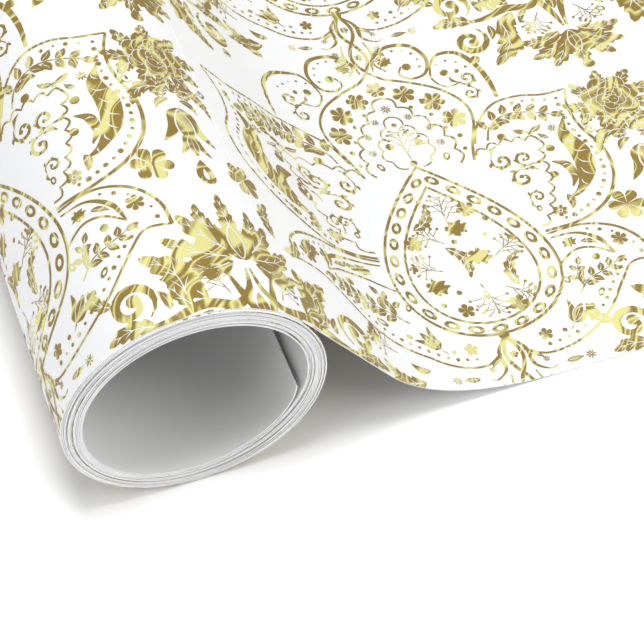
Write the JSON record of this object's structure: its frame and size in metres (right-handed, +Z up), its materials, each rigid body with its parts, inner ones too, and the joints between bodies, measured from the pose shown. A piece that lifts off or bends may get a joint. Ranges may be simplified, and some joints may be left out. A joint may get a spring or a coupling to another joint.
{
  "type": "wrapping paper roll",
  "caption": "Coreless roll of printed gift-wrap paper, its outer end drawn off over the top and laid flat beside the roll.",
  "frame": {"origin": "middle of the footprint, on the surface that the paper lies on", "axes": "+Y along the roll's axis, with the open end that shows the loose inner edge towards -Y; +X from the roll towards the cut leading edge; +Z up"},
  "size_m": [0.286, 0.737, 0.0497],
  "materials": {
    "printed_paper": "smooth satin white paper",
    "paper_reverse": "matt uncoated white reverse and cut edges",
    "gold_print": "bright gold foil print with soft bands"
  },
  "bodies": {
    "flat_sheet": {"flat_run": "printed_paper"},
    "lead_off": {"lead_off_curve": "printed_paper"},
    "outer_turn": {"turn_01": "printed_paper"},
    "turns_02_03": {"turn_02": "paper_reverse", "turn_03": "paper_reverse"},
    "turns_04_05": {"turn_04": "paper_reverse", "turn_05": "paper_reverse"},
    "turns_06_07": {"turn_06": "paper_reverse", "turn_07": "paper_reverse"},
    "turns_08_09": {"turn_08": "paper_reverse", "turn_09": "paper_reverse"},
    "turns_10_11": {"turn_10": "paper_reverse", "turn_11": "paper_reverse"},
    "turns_12_13": {"turn_12": "paper_reverse", "turn_13": "paper_reverse"},
    "inner_end": {"inner_tail": "paper_reverse"},
    "edge_1": {"edge_panel_1": "printed_paper"},
    "edge_2": {"edge_panel_2": "printed_paper"},
    "edge_3": {"leading_edge": "printed_paper"}
  },
  "joints": [
    {"name": "roll_travel", "type": "slide", "parent": "flat_sheet", "child": "lead_off", "axis": [-1, 0, 0], "range_m": [0, 0.03]},
    {"name": "coil_spin", "type": "hinge", "parent": "lead_off", "child": "outer_turn", "pos_m": [-0.1181, 0, 0.02478], "axis": [0, 1, 0], "range_deg": [0, 70]},
    {"name": "turns_slip_1", "type": "slide", "parent": "outer_turn", "child": "turns_02_03", "axis": [0, -1, 0], "range_m": [-0.005, 0.005]},
    {"name": "turns_slip_2", "type": "slide", "parent": "turns_02_03", "child": "turns_04_05", "axis": [0, -1, 0], "range_m": [-0.005, 0.005]},
    {"name": "turns_slip_3", "type": "slide", "parent": "turns_04_05", "child": "turns_06_07", "axis": [0, -1, 0], "range_m": [-0.005, 0.005]},
    {"name": "turns_slip_4", "type": "slide", "parent": "turns_06_07", "child": "turns_08_09", "axis": [0, -1, 0], "range_m": [-0.005, 0.005]},
    {"name": "turns_slip_5", "type": "slide", "parent": "turns_08_09", "child": "turns_10_11", "axis": [0, -1, 0], "range_m": [-0.005, 0.005]},
    {"name": "turns_slip_6", "type": "slide", "parent": "turns_10_11", "child": "turns_12_13", "axis": [0, -1, 0], "range_m": [-0.005, 0.005]},
    {"name": "inner_end_flex", "type": "hinge", "parent": "turns_12_13", "child": "inner_end", "pos_m": [-0.10281, 0, 0.01101], "axis": [0, -1, 0], "range_deg": [-4, 35], "stiffness_Nm_per_rad": 0.002},
    {"name": "edge_lift", "type": "hinge", "parent": "flat_sheet", "child": "edge_1", "pos_m": [0.05297, 0, 0], "axis": [0, -1, 0], "range_deg": [0, 25]},
    {"name": "edge_bend_2", "type": "hinge", "parent": "edge_1", "child": "edge_2", "pos_m": [0.08297, 0, 0], "axis": [0, -1, 0], "range_deg": [0, 25]},
    {"name": "edge_bend_3", "type": "hinge", "parent": "edge_2", "child": "edge_3", "pos_m": [0.11297, 0, 0], "axis": [0, -1, 0], "range_deg": [0, 25]}
  ],
  "couplings": [
    {"joint": "coil_spin", "follows": "roll_travel", "rad_per_m": 40.16},
    {"joint": "turns_slip_2", "follows": "turns_slip_1", "ratio": 1},
    {"joint": "turns_slip_3", "follows": "turns_slip_1", "ratio": 1},
    {"joint": "turns_slip_4", "follows": "turns_slip_1", "ratio": 1},
    {"joint": "turns_slip_5", "follows": "turns_slip_1", "ratio": 1},
    {"joint": "turns_slip_6", "follows": "turns_slip_1", "ratio": 1},
    {"joint": "edge_bend_2", "follows": "edge_lift", "ratio": 1},
    {"joint": "edge_bend_3", "follows": "edge_lift", "ratio": 1}
  ]
}
